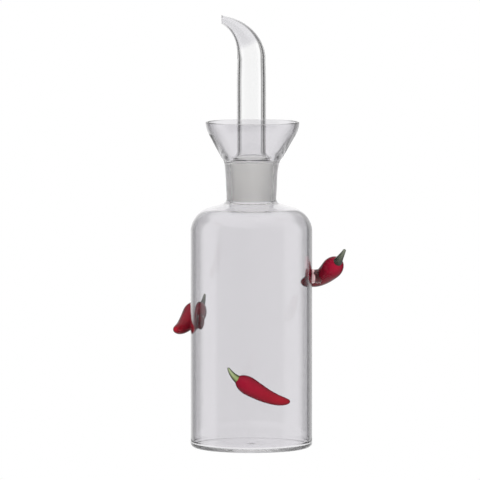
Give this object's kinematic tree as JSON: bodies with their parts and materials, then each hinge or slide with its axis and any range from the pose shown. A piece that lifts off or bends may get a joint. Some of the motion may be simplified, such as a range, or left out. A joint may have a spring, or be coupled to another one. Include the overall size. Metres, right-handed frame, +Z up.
{
  "type": "oil bottle",
  "caption": "Clear glass oil bottle with a funnel mouth, a ground-in curved glass pourer and red glass chillies fused to its wall.",
  "frame": {"origin": "middle of the flat base, where the bottle stands", "axes": "+Z up along the bottle's axis, -X towards the spout's tip, -Y the front with the chilli that faces the viewer"},
  "size_m": [0.0998, 0.0908, 0.2486],
  "materials": {
    "clear_glass": "clear fire-polished glass, ground inside the neck",
    "pourer_glass": "clear glass tube, its plug ground matt",
    "foot_glass": "clear fused glass",
    "chilli_red_glass": "glossy opaque crimson glass",
    "stem_green_glass": "glossy pale green glass"
  },
  "bodies": {
    "root": {"bottle": "clear_glass", "pourer": "pourer_glass", "chilli_front_body": "chilli_red_glass", "chilli_front_stem": "stem_green_glass", "chilli_front_foot": "foot_glass", "chilli_right_body": "chilli_red_glass", "chilli_right_stem": "stem_green_glass", "chilli_right_foot": "foot_glass", "chilli_left_body": "chilli_red_glass", "chilli_left_stem": "stem_green_glass", "chilli_left_foot": "foot_glass"}
  },
  "joints": []
}
